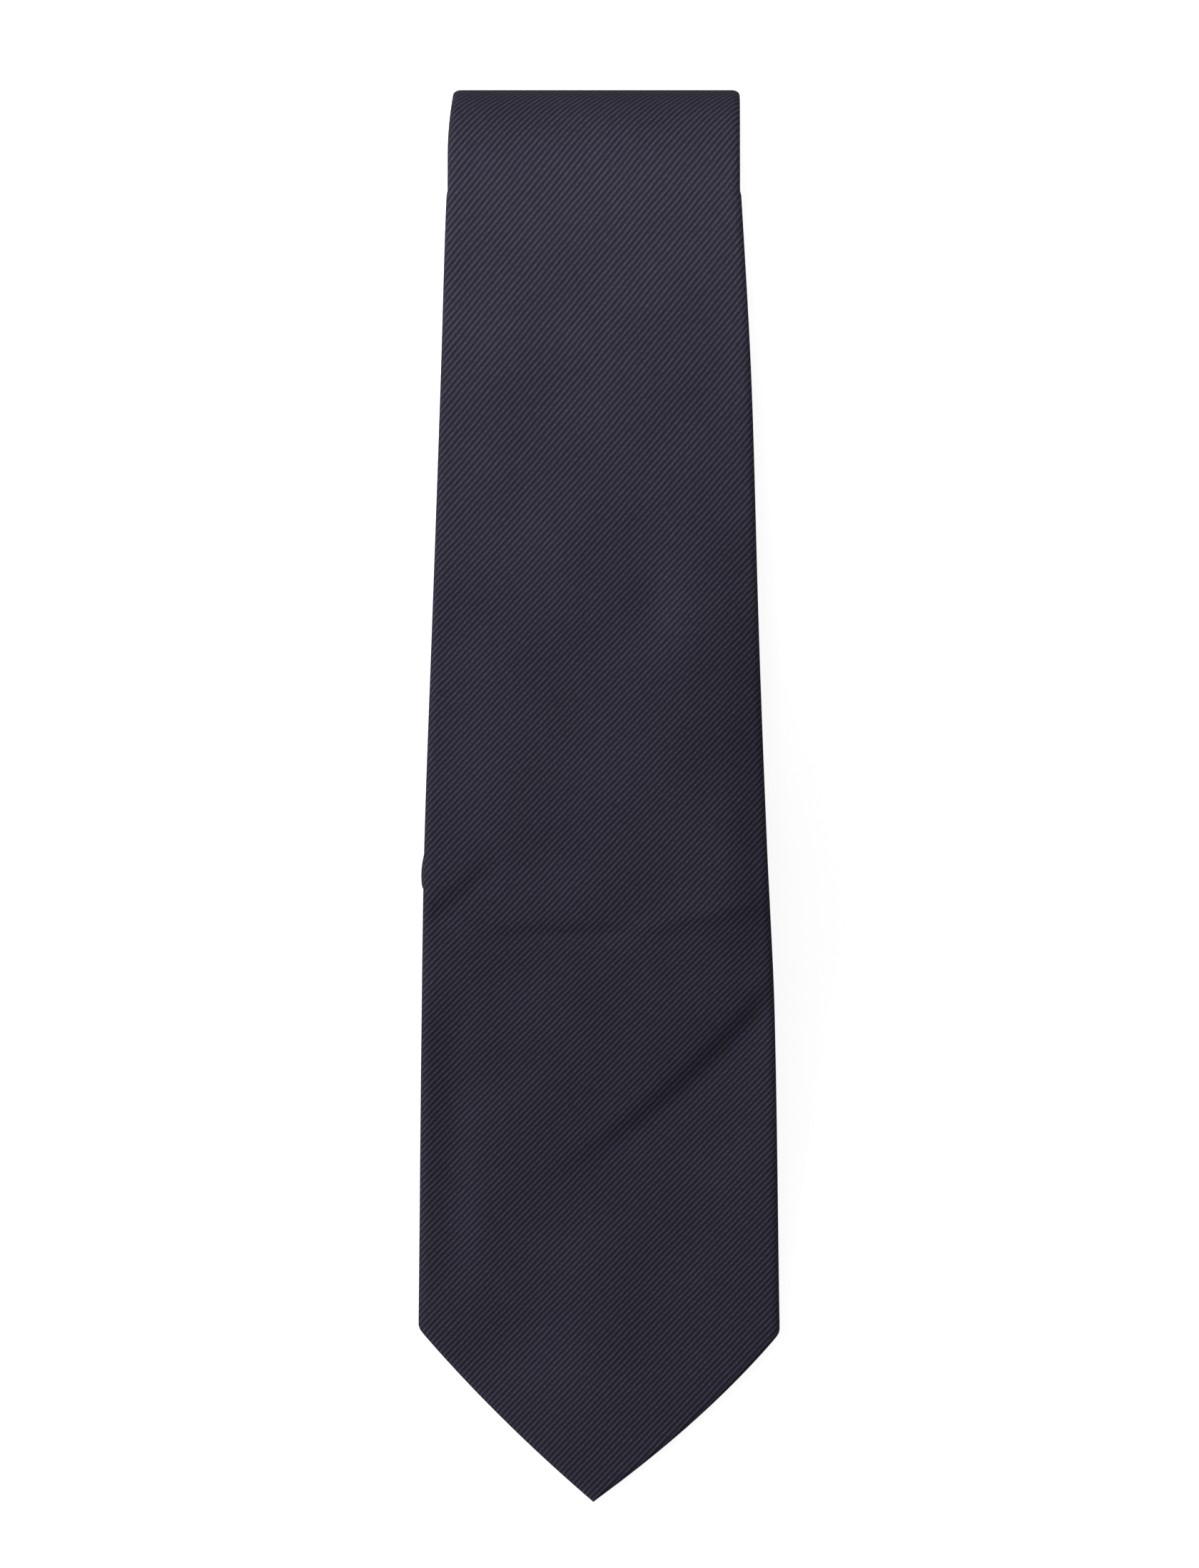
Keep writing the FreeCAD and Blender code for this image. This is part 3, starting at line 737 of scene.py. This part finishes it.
def front_pieces():
    """The blade's silk and interlining, from the wide tip over the top fold."""
    y = blade_front.y
    past = np.clip(blade_front.s - (TOP_FOLD_Y - TIP_Y), 0, None)
    on_front = np.where(past > 0, TOP_FOLD_Y, np.minimum(y, TOP_FOLD_Y))
    left = front_left(on_front) + LEFT_DRAW_IN * smooth(past, 8, 30)
    right = front_right(on_front) - RIGHT_DRAW_IN * smooth(past, 8, 30)
    cut = int(np.argmin(np.abs(y[:int(np.argmax(y))] - PIECE_CUT_Y)))
    last = len(y) - 1
    layer_pair("blade_point", blade_front.part(0, cut), left[:cut + 1], right[:cut + 1],
               ("blade_silk_end", "interlining_blade_end"),
               lift=front_lift, open_to=opening_half_width, columns=ACROSS_FRONT, seam=SILK_BITE,
               core_skip=(9, 0), core_room=2.2 * INSET, bend=END_BEND)
    layer_pair("blade_front", blade_front.part(cut, last), left[cut:], right[cut:],
               ("blade_silk_front", "interlining_front"),
               lift=front_lift, columns=ACROSS_FRONT, seam=SILK_BITE, bend=LIFT_BEND)


def wrap_pieces():
    """The inner turns: blade silk, neck silk and tail silk with their interlining."""
    route = blade_wrap
    rising = route.z > (Z_BLADE_BOTTOM + Z_BLADE_INNER) / 2
    centre = np.where(rising, slant(route.y, X_INNER, X_LOWER),
                      slant(route.y, X_TOP, X_LOWER, TOP_TUCK_Y))
    into_fold = np.clip((LOWER_CENTRE_Y - route.y) / (LOWER_CENTRE_Y - LOWER_FOLD_Y), 0, 1)
    flare = LOWER_FOLD_FLARE * np.sin(np.minimum(into_fold / 0.7, 1.0) * math.pi / 2)
    corner = np.clip((into_fold - 0.80) / 0.20, 0, 1)
    flare = flare - 1.3 * (1 - np.sqrt(1 - corner**2 * 0.98))
    near_top = smooth(route.s, S_BOTTOM + 60, S_BOTTOM)
    half = (width_at(route.s) - 1.2 * near_top) / 2
    left, right = centre - half - flare, centre + half + 0.4 * flare
    left = left + (front_left(TOP_FOLD_Y) + LEFT_DRAW_IN - left[0]) * near_top
    right = right + (front_right(TOP_FOLD_Y) - RIGHT_DRAW_IN - right[0]) * near_top
    layer_pair("blade_wrap", route, left, right, ("blade_silk_wrap", "interlining_blade_wrap"),
               body="bundle")

    on_inner = (neck.z > (Z_NECK_LOW + Z_BLADE_INNER) / 2) | (neck.z > (Z_NECK_HIGH + Z_TAIL_INNER) / 2)
    centre = np.where(on_inner, slant(neck.y, X_INNER, X_LOWER),
                      slant(neck.y, X_INNER, X_NECK, INNER_FOLD_Y, NECK_FOLD_Y))
    half = width_at(neck.s) / 2
    layer_pair("neck", neck, centre - half, centre + half, ("neck_silk", "interlining_neck"),
               body="bundle")

    route = tail_wrap
    centre = np.where(route.z > (Z_TAIL_BOTTOM + Z_TAIL_INNER) / 2, slant(route.y, X_INNER, X_LOWER),
                      slant(route.y, X_TOP, X_LOWER, TOP_TUCK_Y))
    half = width_at(route.s) / 2
    layer_pair("tail_wrap", route, centre - half, centre + half,
               ("tail_silk_wrap", "interlining_tail_wrap"), body="bundle")


def tail_pieces():
    """The tail's end under the front blade, with its point."""
    y, width = tail_end.y, width_at(tail_end.s)
    point = (y - TAIL_TIP_Y) / TAIL_SHOULDER_HEIGHT * TAIL_WIDTH
    on_top = tail_end.z > Z_TAIL_END - 0.01
    half = np.maximum(np.where(on_top, soft_min(width, point, 0.4), width) / 2, 0.05)
    layer_pair("tail_end", tail_end, X_TOP - half, X_TOP + half,
               ("tail_silk_end", "interlining_tail_end"), seam=0.2,
               core_skip=(0, 9), bend=LIFT_BEND)


# --- small pieces on the back -----------------------------------------------------------
def back_sheet(name, ys, half_width, depth, thick, material, columns=24):
    """A thin closed sheet that follows the back of the front layer, with its flat area."""
    rows, uvs = [], []
    for y in ys:
        half = max(0.05, float(half_width(y)))
        x = np.linspace(-half + 0.02 * half, half - 0.02 * half, columns - 2)
        x = np.concatenate([[-half], x, [half], [half], x[::-1], [-half]])
        z = front_height(x, np.full(len(x), y)) - LAYER / 2 - depth
        z = z - np.concatenate([np.zeros(columns), np.full(columns, thick)])
        rows.append(np.stack([x, np.full(len(x), y), z], 1))
        uvs.append(np.stack([x, np.full(len(x), y)], 1))
    return grid_mesh(name, rows, uvs, material)


def thread_mesh(name, points, radius):
    """One thread through points in millimetres, as a mesh."""
    curve = bpy.data.curves.new(name, "CURVE")
    curve.dimensions = "3D"
    curve.bevel_depth = radius * MM
    curve.bevel_resolution = 2
    curve.use_fill_caps = True
    spline = curve.splines.new("POLY")
    spline.points.add(len(points) - 1)
    for point, (x, y, z) in zip(spline.points, points):
        point.co = (x * MM, y * MM, z * MM, 1)
    obj = bpy.data.objects.new(name, curve)
    bpy.context.scene.collection.objects.link(obj)
    curve.materials.append(THREAD)
    return as_mesh(obj)


def stitched_bar(name, centre, length, width, turns, z_of):
    """Dense satin-stitch bar: one thread wound side to side."""
    points = []
    for i in range(turns + 1):
        x = centre[0] + (i / turns - 0.5) * length
        for k, dy in enumerate((-0.5, -0.25, 0.25, 0.5)):
            y = centre[1] + dy * width * (1 if i % 2 else -1)
            depth = 0.30 if k in (1, 2) else 0.05
            points.append((x + 0.1 * k * length / turns, y, z_of(x, y) - depth))
    return thread_mesh(name, points, 0.16)


def as_mesh(obj):
    """The object's curve as a plain mesh of the same name."""
    bpy.context.view_layer.update()
    graph = bpy.context.evaluated_depsgraph_get()
    mesh = bpy.data.meshes.new_from_object(obj.evaluated_get(graph))
    name = obj.name
    bpy.data.objects.remove(obj)
    made = bpy.data.objects.new(name, mesh)
    bpy.context.scene.collection.objects.link(made)
    return made


def blade_back(x, y):
    return float(front_height(np.array([x]), np.array([y]))[0]) - LAYER / 2


def small_pieces():
    """Linings, label, keeper, bar tacks and the slip-stitch thread."""
    ys = np.concatenate([np.arange(TIP_Y + 11.2, -117, 0.5), np.arange(-117, TACK_Y - 1.0, 1.6)])
    tipping = back_sheet("wide_point_lining", ys, lambda y: opening_half_width(y) + LINING_TUCK,
                         -SILK_BITE + 0.10, LINING_THICKNESS, SATIN)
    place(tipping, "tipping", ["blade_tipping"], bend=END_BEND)

    label_low, label_high = box_mm("blank_label")
    label_width = label_high[0] - label_low[0]
    ys = np.linspace(LABEL_Y - LABEL_HEIGHT / 2, LABEL_Y + LABEL_HEIGHT / 2, 25)
    label = back_sheet("plain_woven_label", ys, lambda y: label_width / 2, LABEL_RISE,
                       LABEL_THICKNESS, LABEL, columns=40)
    place(label, "label", ["blank_label"], bend=END_BEND)

    tack = stitched_bar("blade_tack_stitches", (0.8, TACK_Y), 7.0, 2.2, 26,
                        lambda x, y: blade_back(x, y) - SILK_BITE)
    place(tack, "thread", ["blade_bar_tack"], bend=END_BEND)
    tack_low, tack_high = box_mm("tail_bar_tack")
    tail_tack = stitched_bar("tail_tack_stitches", (X_TOP, (tack_low[1] + tack_high[1]) / 2), 6.0, 2.0,
                             24, lambda x, y: tack_high[2] + 0.25)
    place(tail_tack, "thread", ["tail_bar_tack"], body="front_blade")
    tail_tipping()
    keeper_band()
    slip_stitches()


def tail_tipping():
    """Satin lining let into the back of the narrow point."""
    low, high = box_mm("tail_tipping")
    ys = np.arange(low[1], high[1], 0.8)
    halves = [max(0.1, min((y - low[1]) * 0.95, 14.5) * (1 - smooth(y, 6, high[1] + 8))) for y in ys]
    columns = 14
    lift = LAYER / 2 + np.concatenate([np.full(columns, 0.14), np.full(columns, 0.02)])
    rows, uvs = [], []
    for y, half in zip(ys, halves):
        x = X_TOP + np.linspace(-half, half, columns)
        x = np.concatenate([x, x[::-1]])
        rows.append(np.stack([x, np.full(len(x), y), Z_TAIL_END + lift], 1))
        uvs.append(np.stack([x, np.full(len(x), y)], 1))
    obj = grid_mesh("narrow_point_lining", rows, uvs, SATIN)
    place(obj, "tipping", ["tail_tipping"], body="front_blade")


def keeper_band():
    """Self-fabric band round the tail, sewn to the blade's back at both ends."""
    low, high = box_mm("keeper_loop")
    depth, thick, corner = high[1] - low[1], 0.5, 1.4
    under = low[2] + 0.25
    ends = [blade_back(low[0] - 2.5, KEEPER_Y) + 0.1, blade_back(high[0] + 2.5, KEEPER_Y) + 0.1]
    line = [(low[0] - 3.0, ends[0]), (low[0] - 1.0, ends[0] - 0.15)]
    line += [(low[0] + corner * (1 - math.cos(a)) - 0.3,
              under + (ends[0] - 0.3 - under) * (1 - math.sin(a)))
             for a in np.linspace(0.2, math.pi / 2, 6)]
    line += [(x, under) for x in np.linspace(low[0] + 3, high[0] - 3, 24)]
    line += [(high[0] - corner * (1 - math.cos(a)) + 0.3,
              under + (ends[1] - 0.3 - under) * (1 - math.sin(a)))
             for a in np.linspace(math.pi / 2, 0.2, 6)]
    line += [(high[0] + 1.0, ends[1] - 0.15), (high[0] + 3.0, ends[1])]
    line = np.array(line)
    tangent = np.gradient(line, axis=0)
    tangent /= np.linalg.norm(tangent, axis=1)[:, None]
    run = np.concatenate([[0], np.cumsum(np.linalg.norm(np.diff(line, axis=0), axis=1))])
    rows, uvs = [], []
    edge = np.array([0.0, 0.15, 0.6, 2.0, 5.0, 8.0, 11.0, 12.4, 12.85, 13.0]) / 13.0 * depth
    puff = np.array([0.15, 0.35, 0.5, 0.5, 0.42, 0.42, 0.5, 0.5, 0.35, 0.15]) * thick
    for p, t, u in zip(line, tangent, run):
        out = np.array([t[1], -t[0]])
        y = low[1] + np.concatenate([edge, edge[::-1]])
        off = np.concatenate([puff, -puff[::-1]])
        rows.append(np.stack([p[0] + out[0] * off, y, p[1] + out[1] * off], 1))
        uvs.append(np.stack([(y - u) / RIB_PITCH, (y + u) * 0.7], 1))
    obj = grid_mesh("keeper_band", rows, uvs, SILK)
    place(obj, "silk", ["keeper_loop"], body="front_blade")


def slip_stitches():
    """The long thread of the centre seam: short slanted stitches down its turned edge."""
    points = []
    y = END_HINGE[1] + 18.0
    while y < FRONT_HINGE[1] - 26.0:
        x, z = 1.2, blade_back(1.2, y) - 0.28
        points += [(x - 0.5, y, z + 0.12), (x + 0.3, y + 1.1, z - 0.12), (x + 0.5, y + 2.6, z + 0.10)]
        y += 6.0
    thread = thread_mesh("seam_slip_stitches", points, 0.14)
    place(thread, "thread", ["slip_stitch_thread"], body="front_blade")


front_pieces()
wrap_pieces()
tail_pieces()
small_pieces()


# --- stage, light and camera ------------------------------------------------------------
WORLD_LIGHT = 0.45
FLOOR_SIZE, FLOOR_Z = 6.0, -0.0004
FLOOR_TONE, FLOOR_GLOW = 0.35, 0.86         # the table glows, which keeps the shadows pale
# name, place, aim, size, power in watts, spread in degrees
LAMPS = [("top_softbox", (-0.05, 0.29, 0.60), (0.0, 0.21, 0.02), (0.2, 0.15), 0.14, 35),
         ("window", (-1.3, 0.10, 1.1), (0.0, 0.0, 0.0), (0.8, 0.8), 28.0, 180)]
VIEW_HEIGHT = 3.0
SENSOR_WIDTH = 36.0
FRAME_LENGTH = 0.346        # length that the picture's long side takes in, at FRAME_HEIGHT
FRAME_HEIGHT = 0.004


def stage():
    """Plain pale floor and soft studio light."""
    bpy.ops.mesh.primitive_plane_add(size=FLOOR_SIZE, location=(0, 0, FLOOR_Z))
    floor = bpy.context.object
    floor.name = "floor"
    material, _, shader = node_material("floor_white", 0.9, 0.1)
    shader.inputs["Base Color"].default_value = (FLOOR_TONE, FLOOR_TONE, FLOOR_TONE, 1)
    shader.inputs["Emission Color"].default_value = (1, 1, 1, 1)
    shader.inputs["Emission Strength"].default_value = FLOOR_GLOW
    floor.data.materials.append(material)
    # its glow neither lights the silk nor shows in it
    floor.visible_diffuse = False
    floor.visible_glossy = False

    world = bpy.data.worlds.new("studio")
    bpy.context.scene.world = world
    world.use_nodes = True
    world.node_tree.nodes["Background"].inputs["Color"].default_value = (1, 1, 1, 1)
    world.node_tree.nodes["Background"].inputs["Strength"].default_value = WORLD_LIGHT

    for name, spot, target, size, power, spread in LAMPS:
        lamp = bpy.data.lights.new(name, "AREA")
        lamp.shape = "RECTANGLE"
        lamp.size, lamp.size_y = size
        lamp.energy = power
        lamp.spread = math.radians(spread)
        obj = bpy.data.objects.new(name, lamp)
        obj.location = spot
        obj.rotation_mode = "QUATERNION"
        obj.rotation_quaternion = (Vector(target) - Vector(spot)).to_track_quat("-Z", "Y")
        obj.visible_camera = False
        bpy.context.scene.collection.objects.link(obj)


stage()

# the camera looks straight down
camera_data = bpy.data.cameras.new("camera")
camera = bpy.data.objects.new("camera", camera_data)
bpy.context.scene.collection.objects.link(camera)
camera.location = (0.0001, 0.0028, VIEW_HEIGHT)
camera.rotation_euler = (0, 0, 0)
camera_data.sensor_fit = "AUTO"
camera_data.sensor_width = SENSOR_WIDTH
camera_data.lens = SENSOR_WIDTH * (VIEW_HEIGHT - FRAME_HEIGHT) / FRAME_LENGTH
camera_data.clip_end = 20.0
bpy.context.scene.camera = camera
bpy.context.scene.view_settings.view_transform = "Standard"
